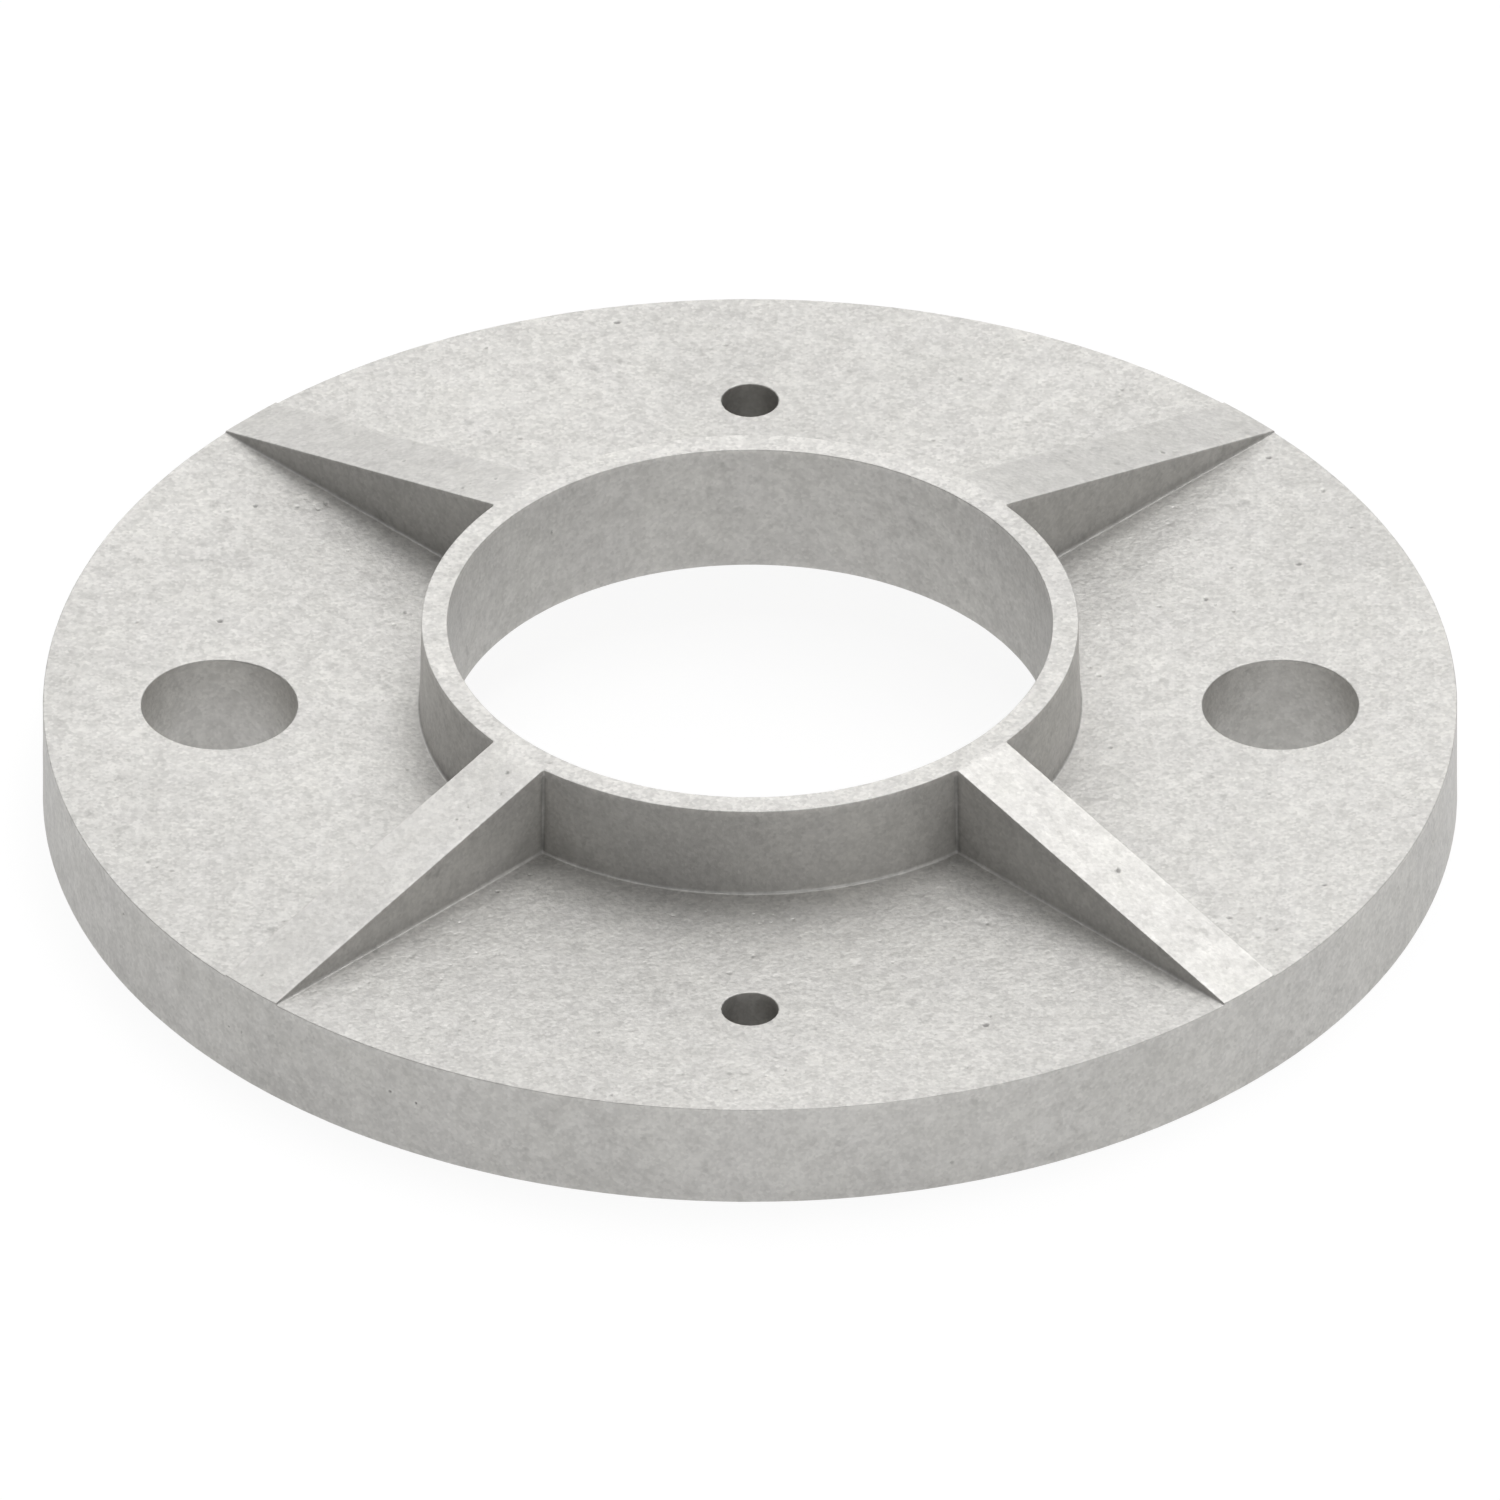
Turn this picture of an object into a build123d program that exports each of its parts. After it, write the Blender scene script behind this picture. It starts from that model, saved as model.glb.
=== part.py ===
from build123d import *
import os
from math import hypot, radians, tan

# Anchor plate for a sign post, as one aluminium casting: a round plate with a thick rim,
# a collar that the post stands in, tapered ribs that brace the collar, a pair of bolt holes
# and a pair of pin holes. Millimetres, +Z up. The origin is the centre of the plate's
# underside, +X points at a bolt hole and +Y at a pin hole.

# Plate: full thickness at the rim and round the holes, a web over the hollow underside
plate_diameter = 200.0
rim_height = 16.0
web_thickness = 6.0

# Post and the collar round it
post_diameter = 82.5
post_clearance = 1.5
collar_height = 14.0
collar_wall = 3.75

# Ribs, from the collar's top edge down to the plate's rim
rib_count = 4
first_rib_angle = 45.0
rib_width = 10.0
rib_toe_height = 0.2

# Holes, all on one circle
hole_circle_diameter = 150.0
bolt_hole_count = 2
bolt_hole_diameter = 22.0
first_bolt_hole_angle = 0.0
pin_hole_count = 2
pin_hole_diameter = 8.0
first_pin_hole_angle = 90.0
bolt_hole_to_recess = 4.0

# Casting: the taper that frees it from the mould, and the radius in its inner corners
draft_angle = 1.0
corner_radius = 0.4

# How far a cutting tool runs past the face that it goes through
overrun = 2.0
# How near to a height or a distance counts as being there
tolerance = 1e-4

plate_radius = plate_diameter / 2
hole_circle_radius = hole_circle_diameter / 2
draft = tan(radians(draft_angle))

bore_radius = post_diameter / 2 + post_clearance
top_height = rim_height + collar_height
collar_top_radius = bore_radius + collar_wall
collar_base_radius = collar_top_radius + collar_height * draft

recess_depth = rim_height - web_thickness
recess_mouth_radius = hole_circle_radius - bolt_hole_diameter / 2 - bolt_hole_to_recess
recess_roof_radius = recess_mouth_radius - recess_depth * draft

rib_angles = [first_rib_angle + turn * 360 / rib_count for turn in range(rib_count)]
rib_fall = collar_height - rib_toe_height
rib_slope = rib_fall / (plate_radius - collar_top_radius)
stock_reach = plate_radius + overrun

on_base = (Align.CENTER, Align.CENTER, Align.MIN)
from_axis_on_base = (Align.MIN, Align.CENTER, Align.MIN)


def ribbed_stock():
    """A polygon slab with a flat side at each rib's end, a solid hub and full-height ribs."""
    flat_to_rib = first_rib_angle + 180 / rib_count
    outline = RegularPolygon(stock_reach, rib_count, major_radius=False, rotation=flat_to_rib)
    hub = Cone(collar_base_radius, collar_top_radius, collar_height, align=on_base)
    rib = Box(stock_reach, rib_width, collar_height, align=from_axis_on_base)
    stock = extrude(outline, rim_height) + Pos(Z=rim_height) * hub
    for angle in rib_angles:
        stock += Pos(Z=rim_height) * Rot(Z=angle) * rib
    return stock


def is_inner_corner(edge):
    """True at the foot of the hub and ribs, and where a rib's side meets the hub."""
    middle = edge.center()
    above_slab = middle.Z > rim_height - tolerance
    below_top = middle.Z < top_height - tolerance
    inside_outline = hypot(middle.X, middle.Y) < stock_reach - tolerance
    return above_slab and below_top and inside_outline


def above_one_rib():
    """What is taken off a full-height rib, to leave it sloping from the collar to the rim."""
    end = stock_reach + overrun
    end_height = top_height - rib_slope * (end - collar_top_radius)
    side = Polyline(
        (collar_top_radius, top_height),
        (end, end_height),
        (end, top_height + overrun),
        (collar_top_radius, top_height + overrun),
        close=True,
    )
    half_width = rib_width / 2 + corner_radius + overrun
    return extrude(Plane.XZ * make_face(side), half_width, both=True)


def underside_recess():
    """The round hollow under the web, wider at its mouth, with a rounded corner at its roof."""
    recess = Cone(recess_mouth_radius, recess_roof_radius, recess_depth, align=on_base)
    return fillet(recess.edges().group_by(Axis.Z)[-1], corner_radius)


def holes(diameter, count, first_angle):
    """Straight holes through the full thickness, evenly spaced on the hole circle."""
    drill = Cylinder(diameter / 2, top_height, align=on_base)
    return PolarLocations(hole_circle_radius, count, first_angle) * drill


def anchor_plate():
    """The whole casting, as one solid."""
    stock = ribbed_stock()
    plate = fillet(stock.edges().filter_by(is_inner_corner), corner_radius)
    for angle in rib_angles:
        plate -= Rot(Z=angle) * above_one_rib()
    plate &= Cylinder(plate_radius, top_height, align=on_base)
    plate -= Cylinder(bore_radius, top_height, align=on_base)
    plate -= underside_recess()
    plate -= holes(bolt_hole_diameter, bolt_hole_count, first_bolt_hole_angle)
    plate -= holes(pin_hole_diameter, pin_hole_count, first_pin_hole_angle)
    return plate


os.makedirs("parts", exist_ok=True)
export_step(anchor_plate(), "parts/anchor_plate.step")
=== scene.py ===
from math import cos, pi, radians, sin, sqrt, tan

import bmesh
import bpy
import numpy as np
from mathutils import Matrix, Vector, noise
from mathutils.bvhtree import BVHTree
from mathutils.geometry import delaunay_2d_cdt
from mathutils.kdtree import KDTree


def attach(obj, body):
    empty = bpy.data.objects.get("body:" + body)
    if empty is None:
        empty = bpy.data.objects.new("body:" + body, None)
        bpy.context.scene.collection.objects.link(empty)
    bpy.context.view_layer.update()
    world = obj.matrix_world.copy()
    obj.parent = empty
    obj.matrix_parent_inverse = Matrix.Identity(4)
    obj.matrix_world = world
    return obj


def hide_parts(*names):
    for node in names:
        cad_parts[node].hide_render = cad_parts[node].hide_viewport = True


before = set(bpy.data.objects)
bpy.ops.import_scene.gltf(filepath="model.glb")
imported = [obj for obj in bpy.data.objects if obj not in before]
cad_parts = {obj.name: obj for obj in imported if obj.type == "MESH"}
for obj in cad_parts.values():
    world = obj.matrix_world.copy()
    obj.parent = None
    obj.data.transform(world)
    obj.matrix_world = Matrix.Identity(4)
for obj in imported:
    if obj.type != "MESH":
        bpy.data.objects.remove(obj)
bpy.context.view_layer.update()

# The casting's driving dimensions, in millimetres as in its solid
plate_diameter = 200.0
rim_height = 16.0
web_thickness = 6.0
post_diameter = 82.5
post_clearance = 1.5
collar_height = 14.0
collar_wall = 3.75
rib_count = 4
first_rib_angle = 45.0
rib_width = 10.0
rib_toe_height = 0.2
hole_circle_diameter = 150.0
bolt_hole_diameter = 22.0
pin_hole_diameter = 8.0
bolt_hole_to_recess = 4.0
draft_angle = 1.0
corner_radius = 0.4

# Worn outer edges, and the bend each way from the collar's top into a rib's: sharp in the solid
edge_radius = 0.18
hole_edge_radius = 0.25
bend_reach = 0.3

# The share of a rib's height that its foot and its top edge may take near the toe
foot_share = 0.6
edge_share = 0.3

# How far apart the points of the skin lie
fine_spacing = 1.0
crest_spacing = 0.9
rim_edge_spacing = 1.2
rim_wall_spacing = 1.15
underside_spacing = 1.6

# A circle's points come in eighths, so that some lie in line with each rib and each hole
circle_parts = 8

# Steps along a sector's wall: on each rib's side, in each upright corner and round the collar
side_steps = 54
inner_corner_steps = 5
arc_steps = 60

# Steps up that wall, then round each edge and across the smaller faces
foot_steps = 4
wall_steps = 12
edge_steps = 3
hole_wall_steps = 15
recess_wall_steps = 7
rib_end_steps = 5
rim_seam_steps = 12
bore_patches = 4

# The creases along a rib's bend: their points, and how far short of its sides they stop
crease_points = 10
crease_inset = 0.8

# How often a wall's line and the height of its top are worked out from each other
crest_rounds = 3

# The scattered points: how far each is shaken, and how far they keep from lines and pits
grid_shake = 0.22
grid_to_line = 0.62
grid_to_pit = 0.3
pit_margin = 1.25

# How near points are taken as one, in filling a face and in welding the faces
fill_tolerance = 1e-6
weld_distance = 0.002

# As-cast skin: the depth and width of its unevenness, all of it inside the true faces
relief_depth = 0.07
relief_width = 3.0
swell_depth = 0.05
swell_width = 14.0

# How fast the finer layers of the relief fade and narrow, and how many layers there are
relief_fade = 0.9
relief_narrowing = 2.1
relief_layers = 3

# The relief's share on slopes and walls, and how many of its depths apart its points have to lie
sloped_relief_share = 0.65
relief_room = 1.6

# By its normal's height, a face counts as sloped up to the first and as level from the second
level_normals = (0.97, 0.99)

# Pits: the area in square millimetres that holds about one, their clusters and their form
pit_gap = 60.0
wall_pit_gap = 700.0
pit_cluster_share = 0.25
pit_cluster_sizes = (2, 6)
pit_cluster_spread = 1.8
pit_radius_range = (0.28, 0.75)
pit_depth_share = 0.28
pit_depth_spread = (0.5, 1.3)
pit_stretch = (0.75, 1.25)
pit_raggedness = (0.85, 1.15)
pit_to_pit = 1.5
pit_to_line = 1.2

# The rings of points in a pit: the share of its radius, the share of its depth, and their count
pit_rings = ((0.5, 0.75, 5), (1.0, 0.0, 8))

# How far round a point is felt for walls that shelter it, and from how far above the skin
# The shelter is used only as the mask of shade painted into the colour
shelter_reach = 40.0
shelter_rays = 32
shelter_lift = 0.25

# The metal's look: its two tints, how far it is metallic, and the widths of its patterns
plain_metal = (0.634, 0.622, 0.606, 1)
warm_metal = (0.658, 0.648, 0.619, 1)
metallic_share = 0.8
roughness_range = (0.55, 0.51)
cloud_width = 30
stained_area_width = 14
tint_width = 8
mottle_width = 2.8
stain_width = 2.2
grain_width = 0.9
sand_width = 0.5

# How uneven walls and slopes look, beside 1 for level faces
wall_unevenness = 0.6
slope_unevenness = 0.8

# How strongly the patterns and stains, the painted shade and the painted highlights change the
# metal's brightness
cloud_brightness = (0.965, 1.035)
mottle_shade = (-0.055, 0.05)
grain_shade = (-0.05, 0.045)
sand_contrast = 0.22
stain_darkening = 0.16
pit_painted_shade = 0.5
painted_crease_shade = (0.2, 0.45)
sheltered_painted_shade = 0.86
painted_highlight_brightness = 1.06

# The collar's top is painted brighter as a highlight, from one depth below it up to the other
highlit_top_depths = (1.0, 0.3)

# The grain's bump, in millimetres, and the share of the mottling in it
bump_depth = 0.12
bump_strength = 0.8
mottle_in_bump = 0.3

# The studio, in metres and degrees: what the picture takes in, the floor and the even surround
view_width = 0.21206
view_elevation = 35
view_aim_height = 0.00809
view_reach = 10
floor_half_width = 3.0
floor_drop = 0.0002
floor_grey = 0.8
floor_glow = 1.1
floor_glow_share = 0.82
floor_mirrored_share = 0.75
surround_strength = 0.155

plate_radius = plate_diameter / 2
draft = tan(radians(draft_angle))
bore_radius = post_diameter / 2 + post_clearance
top_height = rim_height + collar_height
collar_top_radius = bore_radius + collar_wall
rib_half_width = rib_width / 2
rib_slope = (collar_height - rib_toe_height) / (plate_radius - collar_top_radius)
hole_circle_radius = hole_circle_diameter / 2
bolt_hole_radius = bolt_hole_diameter / 2
pin_hole_radius = pin_hole_diameter / 2
roof_height = rim_height - web_thickness
recess_radius = hole_circle_radius - bolt_hole_radius - bolt_hole_to_recess
edge_circle_radius = plate_radius - edge_radius
sector_angle = 2 * pi / rib_count
rib_angles = [radians(first_rib_angle) + turn * sector_angle for turn in range(rib_count)]

random_seed = 20
random_source = np.random.default_rng(random_seed)


def turned(points, angle):
    """Points turned about the plate's axis."""
    x, y = points[..., 0], points[..., 1]
    result = points.copy()
    result[..., 0] = x * cos(angle) - y * sin(angle)
    result[..., 1] = x * sin(angle) + y * cos(angle)
    return result


def steps_round(radius, spacing):
    """How many points to put on a circle."""
    return circle_parts * round(2 * pi * radius / spacing / circle_parts)


def circle(radius, count, height=None, centre=(0.0, 0.0)):
    """Points on a level circle, with a height if one is given."""
    angle = np.arange(count) * 2 * pi / count
    x = centre[0] + radius * np.cos(angle)
    y = centre[1] + radius * np.sin(angle)
    if height is None:
        return np.column_stack([x, y])
    return np.column_stack([x, y, np.full(count, height)])


def at_height(values, height):
    """Points or distances with one height added to each."""
    return np.column_stack([values, np.full(len(values), height)])


def fractions(count):
    """Evenly spaced from 0 to just short of 1."""
    return np.arange(count) / count


class Skin:
    """Patches of the casting's surface in millimetres, which are welded into one mesh."""

    def __init__(self):
        self.points = []
        self.depths = []
        self.faces = []
        self.count = 0

    def add(self, points, faces, depths=None):
        """Adds points with faces between them, and each point's depth in a pit."""
        self.points.append(points)
        self.depths.append(np.zeros(len(points)) if depths is None else depths)
        self.faces.extend([index + self.count for index in face] for face in faces)
        self.count += len(points)

    def strip(self, rows, closed=True):
        """Four-sided faces between rows of points."""
        rows = np.array(rows)
        row_count, length = rows.shape[:2]
        across = length if closed else length - 1
        faces = []
        for row in range(row_count - 1):
            near = row * length
            far = near + length
            for step in range(across):
                after = (step + 1) % length
                faces.append((near + step, near + after, far + after, far + step))
        self.add(rows.reshape(-1, 3), faces)

    def fill(self, loops, lift, spacing, creases=(), gap=pit_gap):
        """Triangles inside closed loops on a flat or unrolled face, with a pit in each gap's area."""
        lines = [(loop, True) for loop in loops] + [(crease, False) for crease in creases]
        fixed = np.vstack([line for line, _ in lines])
        edges = []
        start = 0
        for line, closed in lines:
            last = len(line) if closed else len(line) - 1
            edges += [(start + step, start + (step + 1) % len(line)) for step in range(last)]
            start += len(line)
        pits, pit_depths, keep_out = pit_points(fixed, spacing, gap)
        grid = scattered(fixed, spacing, keep_out)
        flat = np.vstack([fixed, pits, grid])
        depths = np.concatenate([np.zeros(len(fixed)), pit_depths, np.zeros(len(grid))])
        corners = [Vector(point) for point in flat]
        made = delaunay_2d_cdt(corners, edges, [], 0, fill_tolerance, True)
        # Each point comes back in single precision and in a new order, so it is looked up again
        order = np.array([sources[0] for sources in made[3]])
        faces = order[np.array(made[2])]
        faces = faces[inside(flat[faces].mean(axis=1), loops)]
        used, numbered = np.unique(faces, return_inverse=True)
        self.add(lift(flat[used]), numbered.reshape(-1, 3).tolist(), depths[used])


def inside(points, loops):
    """Which points lie inside an odd number of the loops."""
    points_at_once = 2000
    starts = np.vstack(loops)
    ends = np.vstack([np.roll(loop, -1, axis=0) for loop in loops])
    rise = ends[:, 1] - starts[:, 1]
    lean = (ends[:, 0] - starts[:, 0]) / np.where(rise == 0, 1, rise)
    result = []
    for part in np.array_split(points, len(points) // points_at_once + 1):
        x, y = part[:, :1], part[:, 1:]
        spans = (starts[:, 1] > y) != (ends[:, 1] > y)
        left_of = x < starts[:, 0] + lean * (y - starts[:, 1])
        result.append((spans & left_of).sum(axis=1) % 2 == 1)
    return np.concatenate(result)


def tree_of(points):
    """A tree that finds the nearest of flat points."""
    tree = KDTree(len(points))
    for index, point in enumerate(points):
        tree.insert((point[0], point[1], 0.0), index)
    tree.balance()
    return tree


def pit_centres(low, high, gap):
    """Places for pits over a rectangle, some of them in clusters."""
    wanted = int(np.prod(high - low) / gap)
    centres = []
    while len(centres) < wanted:
        centre = random_source.uniform(low, high)
        centres.append(centre)
        if random_source.random() < pit_cluster_share:
            for _ in range(random_source.integers(*pit_cluster_sizes)):
                centres.append(centre + random_source.normal(0, pit_cluster_spread, 2))
    return centres


def pit_points(fixed, spacing, gap):
    """Rings of points for small round pits, their depths, and what to keep clear round them."""
    edge_tree = tree_of(fixed)
    small, large = pit_radius_range
    points, depths, keep_out = [], [], []
    for centre in pit_centres(fixed.min(axis=0), fixed.max(axis=0), gap):
        radius = random_source.triangular(small, small, large)
        _, _, edge_distance = edge_tree.find((centre[0], centre[1], 0.0))
        crowded = any(
            np.hypot(*(centre - other)) < pit_to_pit * (radius + other_radius)
            for other, other_radius in keep_out
        )
        if edge_distance < pit_to_line * spacing + radius or crowded:
            continue
        keep_out.append((centre, radius))
        depth = radius * pit_depth_share * random_source.uniform(*pit_depth_spread)
        points.append(centre)
        depths.append(depth)
        turn = random_source.uniform(0, 2 * pi)
        stretch = random_source.uniform(*pit_stretch)
        for reach, share, count in pit_rings:
            for step in range(count):
                # The inner ring is turned by half a step
                angle = turn + (step + reach) * 2 * pi / count
                ragged = radius * reach * random_source.uniform(*pit_raggedness)
                offset = np.array([cos(angle) * stretch, sin(angle) / stretch]) * ragged
                points.append(centre + offset)
                depths.append(depth * share)
    return np.array(points).reshape(-1, 2), np.array(depths), keep_out


def scattered(fixed, spacing, keep_out):
    """A triangular grid of slightly shaken points, clear of the fixed points and of the pits."""
    low, high = fixed.min(axis=0), fixed.max(axis=0)
    row_gap = spacing * sqrt(3) / 2
    rows = int((high[1] - low[1]) / row_gap) + 1
    columns = int((high[0] - low[0]) / spacing) + 2
    row, column = np.meshgrid(np.arange(rows), np.arange(columns), indexing="ij")
    x = low[0] + (column + 0.5 * (row % 2)) * spacing
    y = low[1] + (row + 0.5) * row_gap
    points = np.column_stack([x.ravel(), y.ravel()])
    points += random_source.uniform(-grid_shake, grid_shake, points.shape) * spacing
    edge_tree = tree_of(fixed)
    pit_tree = tree_of([centre for centre, _ in keep_out]) if keep_out else None
    kept = []
    for point in points:
        place = (point[0], point[1], 0.0)
        if edge_tree.find(place)[2] < grid_to_line * spacing:
            continue
        if pit_tree:
            _, index, distance = pit_tree.find(place)
            if distance < keep_out[index][1] * pit_margin + grid_to_pit * spacing:
                continue
        kept.append(point)
    return np.array(kept).reshape(-1, 2)


def collar_radius(height):
    """The collar's outer radius, with its draft."""
    return collar_top_radius + (top_height - height) * draft


def crest(along):
    """Height of the top of the collar and ribs, at a distance along a rib's axis."""
    past = along - collar_top_radius
    bend = (past + bend_reach) ** 2 / (4 * bend_reach)
    drop = np.where(past > bend_reach, past, np.where(past > -bend_reach, bend, 0.0))
    return top_height - rib_slope * drop


def corner_centre(height):
    """How far along a rib's axis the round corner between rib and collar is centred."""
    across = rib_half_width + corner_radius
    return np.sqrt((collar_radius(height) + corner_radius) ** 2 - across ** 2)


def rib_side(offset, height):
    """Points from the rim along a rib's side and into its corner with the collar.

    The offset is how far each point stands off the plain wall.
    """
    side, corner = slice(0, side_steps), slice(side_steps, None)
    across = rib_half_width + corner_radius
    centre = corner_centre(height)
    end = np.sqrt(edge_circle_radius ** 2 - (rib_half_width + offset) ** 2)
    share = fractions(side_steps)
    along_side = end[side] + (centre[side] - end[side]) * share
    across_side = rib_half_width + offset[side]
    sweep = pi / 2 - np.arctan2(across, centre[corner])
    angle = -pi / 2 - sweep * fractions(inner_corner_steps)
    radius = corner_radius - offset[corner]
    along_corner = centre[corner] + radius * np.cos(angle)
    across_corner = across + radius * np.sin(angle)
    along = np.concatenate([along_side, along_corner])
    return along, np.concatenate([across_side, across_corner])


def wall_line(offset, height):
    """One line round a sector's walls: in along a rib, round the collar, out along the next.

    Its x runs out along the first rib and its y along the next.
    """
    half = side_steps + inner_corner_steps
    first_x, first_y = rib_side(offset[:half], height[:half])
    last_y, last_x = rib_side(offset[:-half - 1:-1], height[:-half - 1:-1])
    arc_height = height[half:-half]
    tilt = np.arctan2(rib_half_width + corner_radius, corner_centre(arc_height))
    angle = tilt + (pi / 2 - 2 * tilt) * np.linspace(0, 1, arc_steps + 1)
    radius = collar_radius(arc_height) + offset[half:-half]
    x = np.concatenate([first_x, radius * np.cos(angle), last_x[::-1]])
    y = np.concatenate([first_y, radius * np.sin(angle), last_y[::-1]])
    return x, y


def sector_walls():
    """Rows of points up the walls of one sector, from the plate to the top of collar and ribs.

    With them come the sizes of the foot's radius and of the top edge's at a rib's toe.
    """
    stations = 2 * (side_steps + inner_corner_steps) + arc_steps + 1
    upright = np.zeros(stations)
    x, y = wall_line(upright, np.full(stations, rim_height))
    plain_crest = crest(np.maximum(x, y))
    wall_height = plain_crest - rim_height
    foot = np.minimum(corner_radius, foot_share * wall_height)
    edge = np.minimum(edge_radius, edge_share * wall_height)

    def row(offset, height_under):
        top = plain_crest
        for _ in range(crest_rounds):
            x, y = wall_line(offset, height_under(top))
            top = crest(np.maximum(x, y))
        return np.column_stack([x, y, height_under(top)])

    rows = []
    for angle in np.linspace(pi / 2, 0, foot_steps + 1):
        rise = foot * (1 - sin(angle))
        rows.append(row(foot * (1 - cos(angle)), lambda top: rim_height + rise))
    low = rim_height + foot
    for share in np.linspace(0, 1, wall_steps + 1)[1:-1]:
        rows.append(row(upright, lambda top: low + (top - edge - low) * share))
    for angle in np.linspace(0, pi / 2, edge_steps + 1):
        sink = edge * (1 - sin(angle))
        rows.append(row(-edge * (1 - cos(angle)), lambda top: top - sink))
    return np.array(rows), foot[0], edge[0]


def on_disc(height):
    """Lifts flat points to a level face."""
    return lambda flat: at_height(flat, height)


def on_cylinder(radius):
    """Rolls unrolled points, arc length and height, on to an upright cylinder."""
    def roll(flat):
        angle = flat[:, 0] / radius
        return np.column_stack([radius * np.cos(angle), radius * np.sin(angle), flat[:, 1]])
    return roll


def on_crest(flat):
    """Lifts flat points to the top of the collar and ribs."""
    in_rib_axes = turned(flat, -rib_angles[0])
    along = np.maximum(abs(in_rib_axes[:, 0]), abs(in_rib_axes[:, 1]))
    return np.column_stack([flat, crest(along)])


def round_edge(inner_radius, inner_height, radial, axial, count, centre=(0.0, 0.0)):
    """Rows of circles round a quarter-round edge, from a level face to an upright one."""
    rows = []
    for angle in np.linspace(0, pi / 2, edge_steps + 1):
        radius = inner_radius + radial * sin(angle)
        height = inner_height + axial * (1 - cos(angle))
        rows.append(circle(radius, count, height, centre))
    return rows


def patch_arc(radius, count, patches, turn, first=0):
    """Arc lengths of a circle's points along one of the equal patches that it is cut into."""
    steps = first + np.arange(turn * count // patches, (turn + 1) * count // patches + 1)
    return steps * 2 * pi / count * radius


def patch_outline(bottom, top, side_heights):
    """The outline of a patch of an unrolled wall, between its lower and its upper line."""
    right = np.column_stack([np.full(len(side_heights), bottom[-1, 0]), side_heights])
    left = np.column_stack([np.full(len(side_heights), bottom[0, 0]), side_heights[::-1]])
    return np.vstack([bottom, right, top[::-1], left])


def hole_skin(skin, radius, centre):
    """A straight hole with rounded lips. Returns the loop of its two mouths."""
    count = steps_round(radius, fine_spacing)
    lip = hole_edge_radius
    rows = round_edge(radius + lip, rim_height, -lip, -lip, count, centre)
    heights = np.linspace(rim_height - lip, lip, hole_wall_steps + 1)[1:-1]
    rows += [circle(radius, count, height, centre) for height in heights]
    rows += round_edge(radius + lip, 0.0, -lip, lip, count, centre)[::-1]
    skin.strip(rows)
    return circle(radius + lip, count, centre=centre)


def all_holes(skin):
    """Pin holes and bolt holes by turns, each midway between two ribs. Returns their loops."""
    loops = []
    for turn, angle in enumerate(rib_angles):
        middle = angle + sector_angle / 2
        centre = (hole_circle_radius * cos(middle), hole_circle_radius * sin(middle))
        radius = pin_hole_radius if turn % 2 == 0 else bolt_hole_radius
        loops.append(hole_skin(skin, radius, centre))
    return loops


def plate_edge(foot_radius):
    """The plate's edge from one rib's foot to the next, without its two ends."""
    start = np.arcsin((rib_half_width + foot_radius) / edge_circle_radius)
    count = round((sector_angle - 2 * start) * edge_circle_radius / fine_spacing)
    angle = start + (sector_angle - 2 * start) * fractions(count)[1:]
    return edge_circle_radius * np.column_stack([np.cos(angle), np.sin(angle)])


def toe_line(top_edge_radius):
    """Where a rib's top meets the rim, from the rib's middle to just short of its side."""
    across = np.linspace(0, rib_half_width - top_edge_radius, rib_end_steps + 1)[:-1]
    return np.column_stack([np.sqrt(edge_circle_radius ** 2 - across ** 2), across])


def bore_mouth():
    """The loop where the bore's rounded edges leave the level faces."""
    return circle(bore_radius + edge_radius, steps_round(bore_radius, fine_spacing))


def plate_skin(skin, walls, edge_line, holes):
    """The plate's top, one patch between each pair of ribs, and the walls round it."""
    # In each corner the lowest points fall together, so only the first of them is kept
    corner = [side_steps + step for step in range(1, inner_corner_steps + 1)]
    other_corner = [walls.shape[1] - 1 - step for step in corner]
    foot_line = np.delete(walls[0][:, :2], corner + other_corner, axis=0)
    for angle, hole in zip(rib_angles, holes):
        outline = turned(np.vstack([foot_line, edge_line[::-1]]), angle)
        skin.fill([outline, hole], on_disc(rim_height), fine_spacing)
        skin.strip([turned(row, angle) for row in walls], closed=False)


def crest_skin(skin, walls, toe):
    """The top of the collar and ribs, with a crease each side of the bend into each rib."""
    crest_line = walls[-1][:, :2]
    half_crease = rib_half_width - crease_inset
    across = np.linspace(-half_crease, half_crease, crease_points)
    outline = []
    creases = []
    for angle in rib_angles:
        outline.append(turned(crest_line, angle))
        outline.append(turned(toe[::-1] * (1, -1), angle + sector_angle))
        outline.append(turned(toe[1:], angle + sector_angle))
        for reach in (-bend_reach, bend_reach):
            along = np.full(crease_points, collar_top_radius + reach)
            creases.append(turned(np.column_stack([along, across]), angle))
    skin.fill([np.vstack(outline), bore_mouth()], on_crest, crest_spacing, creases)


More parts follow.
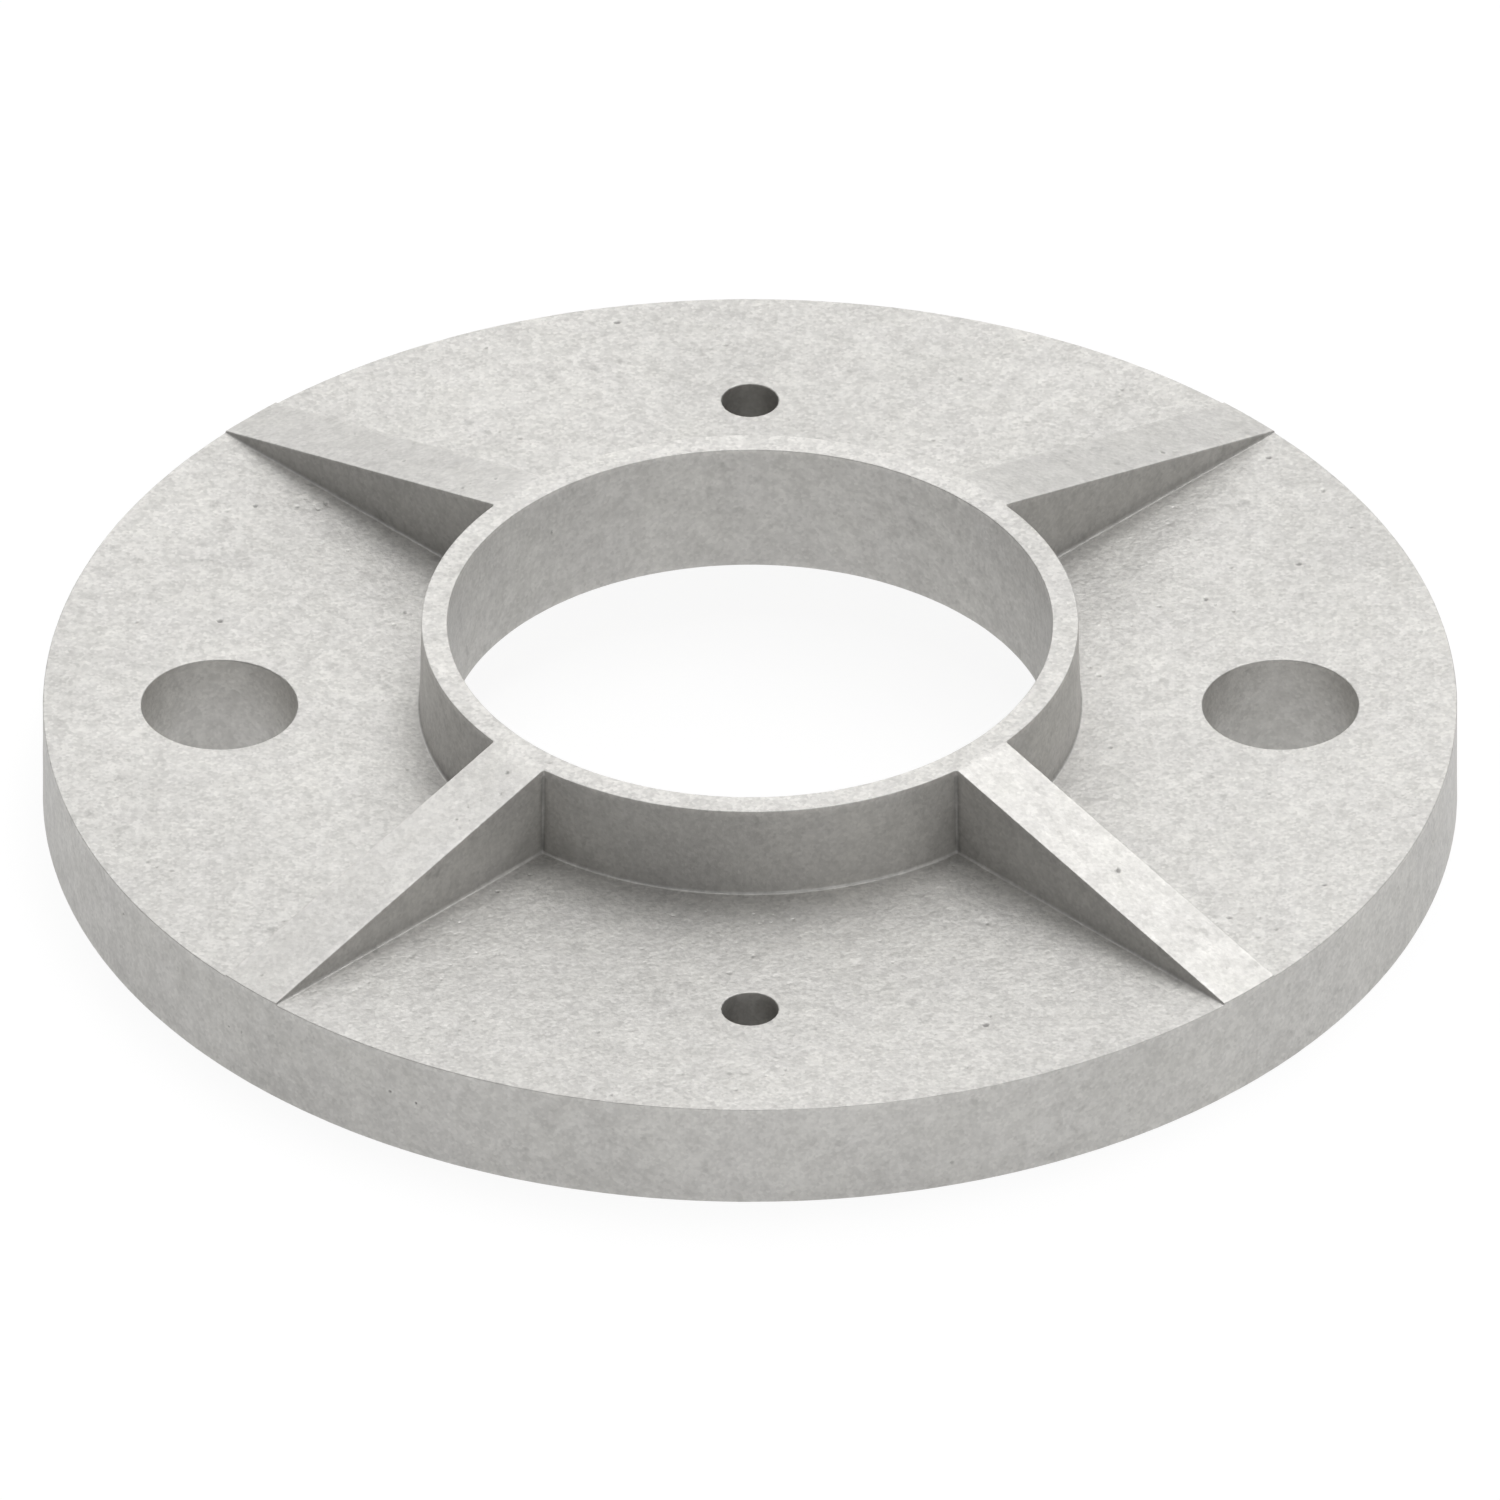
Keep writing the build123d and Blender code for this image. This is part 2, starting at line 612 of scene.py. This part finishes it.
def rim_skin(skin, walls, edge_line, toe):
    """The rim: an upper edge that follows the ribs' toes, a plain wall and a lower edge."""
    toe = np.column_stack([toe, crest(toe[:, 0])])
    mirrored_toe = toe[1:, [1, 0, 2]][::-1]
    plate_line = at_height(edge_line, rim_height)
    brow = np.vstack([toe, walls[::-1, 0], plate_line, walls[:, -1], mirrored_toe])
    brow_count = len(brow)
    brow = np.vstack([turned(brow, angle) for angle in rib_angles])
    rows = []
    for angle in np.linspace(0, pi / 2, edge_steps + 1):
        scale = (edge_circle_radius + edge_radius * sin(angle)) / edge_circle_radius
        row = brow * (scale, scale, 1)
        row[:, 2] -= edge_radius * (1 - cos(angle))
        rows.append(row)
    skin.strip(rows)

    count = steps_round(plate_radius, rim_edge_spacing)
    first = round(rib_angles[0] / (2 * pi) * count)
    upper_angle = np.unwrap(np.arctan2(brow[:, 1], brow[:, 0]))
    upper_angle = np.append(upper_angle, upper_angle[0] + 2 * pi)
    upper_height = np.append(brow[:, 2], brow[0, 2]) - edge_radius
    seam_heights = np.linspace(edge_radius, upper_height[0], rim_seam_steps + 1)[1:-1]
    for turn in range(rib_count):
        upper = slice(turn * brow_count, (turn + 1) * brow_count + 1)
        top = np.column_stack([upper_angle[upper] * plate_radius, upper_height[upper]])
        bottom = at_height(patch_arc(plate_radius, count, rib_count, turn, first), edge_radius)
        outline = patch_outline(bottom, top, seam_heights)
        skin.fill([outline], on_cylinder(plate_radius), rim_wall_spacing, gap=wall_pit_gap)
    skin.strip(round_edge(edge_circle_radius, 0.0, edge_radius, edge_radius, count))


def underside_skin(skin, holes):
    """The ring that stands on the foundation, the recess and the web's underside."""
    count = steps_round(recess_radius, underside_spacing)
    mouth_radius = recess_radius + edge_radius
    outer = circle(edge_circle_radius, steps_round(plate_radius, rim_edge_spacing))
    base_loops = [outer, circle(mouth_radius, count)] + holes
    skin.fill(base_loops, on_disc(0.0), underside_spacing)
    rows = round_edge(mouth_radius, 0.0, -edge_radius, edge_radius, count)
    cove_height = roof_height - corner_radius
    for height in np.linspace(edge_radius, cove_height, recess_wall_steps + 1)[1:]:
        rows.append(circle(recess_radius - height * draft, count, height))
    cove_centre = recess_radius - cove_height * draft - corner_radius
    for angle in np.linspace(0, pi / 2, foot_steps + 1)[1:]:
        radius = cove_centre + corner_radius * cos(angle)
        rows.append(circle(radius, count, cove_height + corner_radius * sin(angle)))
    skin.strip(rows)
    skin.fill([circle(cove_centre, count), bore_mouth()], on_disc(roof_height), underside_spacing)


def bore_skin(skin):
    """The bore, from the web's underside to the top of the collar."""
    count = steps_round(bore_radius, fine_spacing)
    mouth_radius = bore_radius + edge_radius
    skin.strip(round_edge(mouth_radius, roof_height, -edge_radius, edge_radius, count))
    low, high = roof_height + edge_radius, top_height - edge_radius
    side_heights = np.linspace(low, high, round((high - low) / fine_spacing) + 1)[1:-1]
    for turn in range(bore_patches):
        arc = patch_arc(bore_radius, count, bore_patches, turn)
        outline = patch_outline(at_height(arc, low), at_height(arc, high), side_heights)
        skin.fill([outline], on_cylinder(bore_radius), fine_spacing, gap=wall_pit_gap)
    skin.strip(round_edge(mouth_radius, top_height, -edge_radius, -edge_radius, count))


def casting_skin():
    """The whole surface of the casting."""
    skin = Skin()
    walls, foot_radius, top_edge_radius = sector_walls()
    edge_line = plate_edge(foot_radius)
    toe = toe_line(top_edge_radius)
    holes = all_holes(skin)
    plate_skin(skin, walls, edge_line, holes)
    crest_skin(skin, walls, toe)
    rim_skin(skin, walls, edge_line, toe)
    underside_skin(skin, holes)
    bore_skin(skin)
    return skin


def welded_mesh(skin, name):
    """One closed mesh of a skin's patches, with each point's depth in a pit."""
    mesh = bpy.data.meshes.new(name)
    mesh.from_pydata(np.vstack(skin.points).tolist(), [], skin.faces)
    depth_layer = mesh.attributes.new("pit", "FLOAT", "POINT")
    depth_layer.data.foreach_set("value", np.concatenate(skin.depths))
    work = bmesh.new()
    work.from_mesh(mesh)
    bmesh.ops.remove_doubles(work, verts=work.verts, dist=weld_distance)
    bmesh.ops.recalc_face_normals(work, faces=work.faces)
    open_edges = sum(1 for edge in work.edges if not edge.is_manifold)
    if open_edges:
        print("open edges:", open_edges)
    work.to_mesh(mesh)
    work.free()
    return mesh


def places_and_normals(mesh):
    """Each point's place, and its normal as the mean of the faces round it by their area."""
    mesh.calc_loop_triangles()
    corners = np.empty(len(mesh.loop_triangles) * 3, int)
    mesh.loop_triangles.foreach_get("vertices", corners)
    corners = corners.reshape(-1, 3)
    places = np.empty(len(mesh.vertices) * 3)
    mesh.vertices.foreach_get("co", places)
    places = places.reshape(-1, 3)
    a, b, c = (places[corners[:, step]] for step in range(3))
    face_normals = np.cross(b - a, c - a)
    normals = np.zeros_like(places)
    for step in range(3):
        np.add.at(normals, corners[:, step], face_normals)
    lengths = np.linalg.norm(normals, axis=1, keepdims=True)
    least_length = 1e-20
    return places, normals / np.maximum(lengths, least_length)


def edge_ends(mesh):
    """The two points of each edge."""
    ends = np.empty(len(mesh.edges) * 2, int)
    mesh.edges.foreach_get("vertices", ends)
    return ends.reshape(-1, 2).T


def shortest_edges(mesh, places):
    """The length of the shortest edge at each point."""
    first, second = edge_ends(mesh)
    lengths = np.linalg.norm(places[second] - places[first], axis=1)
    shortest = np.full(len(places), np.inf)
    np.minimum.at(shortest, first, lengths)
    np.minimum.at(shortest, second, lengths)
    return shortest


def relief_at(places):
    """How far the cast skin lies under the true faces at each point."""
    sink = np.empty(len(places))
    for index, place in enumerate(places):
        point = Vector(place)
        relief = noise.fractal(point / relief_width, relief_fade, relief_narrowing, relief_layers)
        swell = noise.noise(point / swell_width)
        sink[index] = relief_depth * (0.5 + 0.5 * max(-1.0, min(1.0, relief)))
        sink[index] += swell_depth * (0.5 + 0.5 * max(-1.0, min(1.0, swell)))
    return sink


def shelter_at(mesh, places, normals):
    """How much of the space over each point is closed in, from 0 for open to 1 for shut."""
    corners = [tuple(triangle.vertices) for triangle in mesh.loop_triangles]
    tree = BVHTree.FromPolygons([Vector(place) for place in places], corners)
    golden_angle = pi * (3 - sqrt(5))
    fan = []
    for step in range(shelter_rays):
        outward = sqrt((step + 0.5) / shelter_rays)
        spin = step * golden_angle
        fan.append((outward * cos(spin), outward * sin(spin), sqrt(1 - outward ** 2)))
    shelter = np.empty(len(places))
    for index, (place, normal) in enumerate(zip(places, normals)):
        facing = Vector(normal)
        turn = Vector((0, 0, 1)).rotation_difference(facing)
        start = Vector(place) + facing * shelter_lift
        shut = 0.0
        for direction in fan:
            aim = Vector(direction)
            aim.rotate(turn)
            distance = tree.ray_cast(start, aim, shelter_reach)[3]
            if distance is not None:
                shut += 1 - (distance / shelter_reach) ** 2
        shelter[index] = shut / shelter_rays
    return shelter


def fold_at(mesh, places, normals):
    """How sharply the skin folds: above 0 in an upright inner corner, below 0 on an edge."""
    ends = edge_ends(mesh)
    total, count = np.zeros(len(places)), np.zeros(len(places))
    for here, there in (ends, ends[::-1]):
        step = places[there] - places[here]
        bend = (step * normals[here]).sum(axis=1) / (step ** 2).sum(axis=1)
        level_step = 1 - step[:, 2] ** 2 / (step ** 2).sum(axis=1)
        upright = level_step * (1 - abs(normals[here, 2]))
        bend = np.where(bend > 0, bend * upright, bend)
        np.add.at(total, here, bend)
        np.add.at(count, here, 1)
    return total / count


def skin_object(skin, name):
    """Welds a skin, works its unevenness and pits into it, and makes it an object in metres."""
    mesh = welded_mesh(skin, name)
    places, normals = places_and_normals(mesh)
    depths = np.empty(len(mesh.vertices))
    mesh.attributes["pit"].data.foreach_get("value", depths)
    room = np.clip(shortest_edges(mesh, places) / relief_depth / relief_room, 0, 1)
    share = np.interp(abs(normals[:, 2]), level_normals, (sloped_relief_share, 1.0))
    places -= normals * (relief_at(places) * room * share + depths)[:, None]
    mesh.vertices.foreach_set("co", places.ravel())
    mesh.update()

    places, normals = places_and_normals(mesh)
    # Masks for the shade and highlights painted into the colour
    for layer, values_at in (("shelter", shelter_at), ("fold", fold_at)):
        values = values_at(mesh, places, normals)
        mesh.attributes.new(layer, "FLOAT", "POINT").data.foreach_set("value", values)
    mesh.vertices.foreach_set("co", (places / 1000).ravel())
    mesh.attributes["pit"].data.foreach_set("value", depths / pit_radius_range[1] / pit_depth_share)
    mesh.update()
    mesh.shade_smooth()
    _, normals = places_and_normals(mesh)
    mesh.normals_split_custom_set_from_vertices(normals)
    made = bpy.data.objects.new(name, mesh)
    bpy.context.scene.collection.objects.link(made)
    return made


class Nodes:
    """A short way to write a material's nodes."""

    def __init__(self, name):
        self.material = bpy.data.materials.new(name)
        self.material.use_nodes = True
        self.tree = self.material.node_tree
        self.tree.nodes.clear()

    def add(self, kind, inputs=None, **settings):
        """A node, whose inputs are either linked or set to a value."""
        node = self.tree.nodes.new(kind)
        for key, value in settings.items():
            setattr(node, key, value)
        for key, value in (inputs or {}).items():
            if isinstance(value, bpy.types.NodeSocket):
                self.tree.links.new(value, node.inputs[key])
            else:
                node.inputs[key].default_value = value
        return node

    def noise(self, place, width, detail=2, roughness=0.5):
        """Noise whose features are about as many millimetres wide as given, from 0 to 1."""
        inputs = {
            "Vector": place,
            "Scale": 1000 / width,
            "Detail": detail,
            "Roughness": roughness,
        }
        return self.add("ShaderNodeTexNoise", inputs).outputs["Fac"]

    def math(self, operation, first, second, third=None):
        """The result of one operation on two or three values."""
        inputs = {0: first, 1: second}
        if third is not None:
            inputs[2] = third
        return self.add("ShaderNodeMath", inputs, operation=operation).outputs[0]

    def product(self, first, *others):
        """All of the values multiplied."""
        for other in others:
            first = self.math("MULTIPLY", first, other)
        return first

    def ramp(self, value, low, high, to_low=0.0, to_high=1.0):
        """A smooth step from one value to another, between two bounds."""
        inputs = {
            "Value": value,
            "From Min": low,
            "From Max": high,
            "To Min": to_low,
            "To Max": to_high,
        }
        return self.add("ShaderNodeMapRange", inputs, interpolation_type="SMOOTHSTEP").outputs[0]


def unevenness(nodes, facing):
    """How uneven the skin is by its tilt: walls slid out of the mould, and level faces lay in it."""
    level = nodes.math("ABSOLUTE", facing, 0)
    sloped = nodes.ramp(level, 0.3, 0.9, wall_unevenness, slope_unevenness)
    return nodes.math("MAXIMUM", sloped, nodes.ramp(level, *level_normals, slope_unevenness, 1.0))


def sand_grains(nodes, place):
    """The marks of single grains of the mould's sand, each with a shade of its own."""
    inputs = {"Vector": place, "Scale": 1000 / sand_width, "Smoothness": 0.4}
    cells = nodes.add("ShaderNodeTexVoronoi", inputs, feature="SMOOTH_F1")
    shade = nodes.add("ShaderNodeSeparateColor", {"Color": cells.outputs["Color"]}).outputs[0]
    return nodes.math("MULTIPLY_ADD", shade, sand_contrast, -sand_contrast / 2)


def cast_tone(nodes, place, mottle, grain, uneven):
    """The brightness of the clean cast skin: mottling, grain, sand, stains and wide clouds."""
    clouds = nodes.noise(place, cloud_width)
    stain = nodes.noise(place, stain_width)
    stained_area = nodes.noise(place, stained_area_width, detail=1)
    mottled = nodes.ramp(mottle, 0.25, 0.75, *mottle_shade)
    shade = nodes.math("ADD", mottled, nodes.ramp(grain, 0.2, 0.8, *grain_shade))
    shade = nodes.math("MULTIPLY_ADD", sand_grains(nodes, place), uneven, shade)
    tone = nodes.math("MULTIPLY_ADD", shade, uneven, 1.0)
    stains = nodes.product(nodes.ramp(stain, 0.58, 0.75), nodes.ramp(stained_area, 0.45, 0.65))
    return nodes.product(
        tone,
        nodes.math("MULTIPLY_ADD", stains, -stain_darkening, 1.0),
        nodes.ramp(clouds, 0.3, 0.7, *cloud_brightness),
    )


def painted_shade_and_highlight_tone(nodes, place, mottle, tone):
    """The brightness with painted shade in pits, inner corners and sheltered places, and painted
    highlights on edges and the collar's top.
    """
    pit, shelter, fold = (
        nodes.add("ShaderNodeAttribute", attribute_name=name).outputs["Fac"]
        for name in ("pit", "shelter", "fold")
    )
    height = nodes.add("ShaderNodeSeparateXYZ", {"Vector": place}).outputs["Z"]
    highlit_from, highlit_to = ((top_height - depth) / 1000 for depth in highlit_top_depths)
    # The share of shade painted into upright inner corners, varied by the mottling
    crease_shade_share = nodes.ramp(mottle, 0.3, 0.7, *painted_crease_shade)
    crease = nodes.product(nodes.ramp(fold, 0.05, 0.45), crease_shade_share)
    return nodes.product(
        tone,
        # Painted shade in the pits, darker towards their bottoms
        nodes.ramp(pit, 0.15, 1.0, 1.0, pit_painted_shade),
        # Painted shade in upright inner corners
        nodes.math("SUBTRACT", 1.0, crease),
        # Painted shade where walls close in over the skin: in holes, bores, corners and at feet
        nodes.ramp(shelter, 0.45, 0.6, 1.0, sheltered_painted_shade),
        # Painted highlight along the outer edges
        nodes.ramp(fold, -0.6, -0.1, painted_highlight_brightness, 1.0),
        # Painted highlight on the collar's top
        nodes.ramp(height, highlit_from, highlit_to, 1.0, painted_highlight_brightness),
    )


def cast_aluminium():
    """Pale matt aluminium with the grain of a sand mould, faint mottling and stains, with painted
    shade in hollows and painted highlights.
    """
    nodes = Nodes("cast_aluminium_skin")
    coordinates = nodes.add("ShaderNodeTexCoord").outputs
    place = coordinates["Object"]
    facing = nodes.add("ShaderNodeSeparateXYZ", {"Vector": coordinates["Normal"]}).outputs["Z"]
    mottle = nodes.noise(place, mottle_width, roughness=0.55)
    grain = nodes.noise(place, grain_width, roughness=0.6)
    uneven = unevenness(nodes, facing)
    tone = painted_shade_and_highlight_tone(nodes, place, mottle, cast_tone(nodes, place, mottle, grain, uneven))

    tints = {"Factor": nodes.noise(place, tint_width), 6: plain_metal, 7: warm_metal}
    tinted = nodes.add("ShaderNodeMix", tints, data_type="RGBA").outputs[2]
    colour = nodes.add("ShaderNodeVectorMath", {0: tinted, "Scale": tone}, operation="SCALE")

    relief = nodes.math("MULTIPLY_ADD", mottle, mottle_in_bump, grain)
    bump = nodes.add(
        "ShaderNodeBump",
        {
            "Height": nodes.product(relief, uneven),
            "Strength": bump_strength,
            "Distance": bump_depth / 1000,
        },
    )
    shader = nodes.add(
        "ShaderNodeBsdfPrincipled",
        {
            "Base Color": colour.outputs[0],
            "Metallic": metallic_share,
            "Roughness": nodes.ramp(mottle, 0.25, 0.75, *roughness_range),
            "Normal": bump.outputs["Normal"],
        },
    )
    nodes.add("ShaderNodeOutputMaterial", {"Surface": shader.outputs[0]})
    return nodes.material


def floor_material():
    """White, shown to the camera as white, with a faint trace of the object's shadow."""
    nodes = Nodes("studio_floor")
    grey = (floor_grey, floor_grey, floor_grey, 1)
    diffuse = nodes.add("ShaderNodeBsdfDiffuse", {"Color": grey}).outputs[0]
    glow = {"Color": (1, 1, 1, 1), "Strength": floor_glow}
    white = nodes.add("ShaderNodeEmission", glow).outputs[0]
    path = nodes.add("ShaderNodeLightPath").outputs
    seen = nodes.math("MAXIMUM", path["Is Camera Ray"], path["Is Transmission Ray"])
    mirrored = nodes.math("MULTIPLY", path["Is Glossy Ray"], floor_mirrored_share)
    share = nodes.math("MULTIPLY", nodes.math("MAXIMUM", seen, mirrored), floor_glow_share)
    mixed = nodes.add("ShaderNodeMixShader", {0: share, 1: diffuse, 2: white}).outputs[0]
    nodes.add("ShaderNodeOutputMaterial", {"Surface": mixed})
    return nodes.material


def add_floor():
    """A plain floor just under the casting's foot."""
    mesh = bpy.data.meshes.new("studio_floor")
    half = floor_half_width
    corners = [(-half, -half, 0), (half, -half, 0), (half, half, 0), (-half, half, 0)]
    mesh.from_pydata(corners, [], [(0, 1, 2, 3)])
    floor = bpy.data.objects.new("studio_floor", mesh)
    floor.location.z = -floor_drop
    floor.data.materials.append(floor_material())
    bpy.context.scene.collection.objects.link(floor)


def add_world():
    """A dim even surround."""
    world = bpy.data.worlds.new("studio")
    world.use_nodes = True
    background = world.node_tree.nodes["Background"]
    background.inputs["Color"].default_value = (1, 1, 1, 1)
    background.inputs["Strength"].default_value = surround_strength
    bpy.context.scene.world = world


def add_lamp(name, azimuth, elevation, width, strength):
    """A far round soft lamp, at an angle round from the right and an angle up, as wide as given."""
    data = bpy.data.lights.new(name, "SUN")
    data.angle = radians(width)
    data.energy = strength * pi
    lamp = bpy.data.objects.new(name, data)
    across, up = radians(azimuth), radians(elevation)
    direction = Vector((cos(up) * cos(across), cos(up) * sin(across), sin(up)))
    lamp.rotation_euler = direction.to_track_quat("Z", "Y").to_euler()
    bpy.context.scene.collection.objects.link(lamp)


def add_camera():
    """Parallel projection from the front and above, as the photo has it."""
    data = bpy.data.cameras.new("photo_camera")
    data.type = "ORTHO"
    data.ortho_scale = view_width
    data.clip_end = view_reach
    camera = bpy.data.objects.new("photo_camera", data)
    up = radians(view_elevation)
    direction = Vector((0, -cos(up), sin(up)))
    camera.location = Vector((0, 0, view_aim_height)) + direction
    camera.rotation_euler = direction.to_track_quat("Z", "Y").to_euler()
    bpy.context.scene.collection.objects.link(camera)
    bpy.context.scene.camera = camera


casting = skin_object(casting_skin(), "anchor_plate_casting")
casting.data.materials.append(cast_aluminium())
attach(casting, "root")
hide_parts("anchor_plate")

add_floor()
add_world()
# Each lamp's angle round, angle up and width in degrees, and its strength
add_lamp("key", 58, 50, 44, 0.19)
add_lamp("high", 60, 70, 40, 0.19)
add_lamp("overhead", 0, 90, 45, 0.165)
add_lamp("back_left", 122, 38, 40, 0.155)
add_lamp("back", 90, 14, 30, 0.09)
add_lamp("front", 290, 14, 40, 0.1)
add_lamp("front_right", 330, 35, 45, 0.06)
add_camera()
bpy.context.scene.view_settings.view_transform = "Standard"
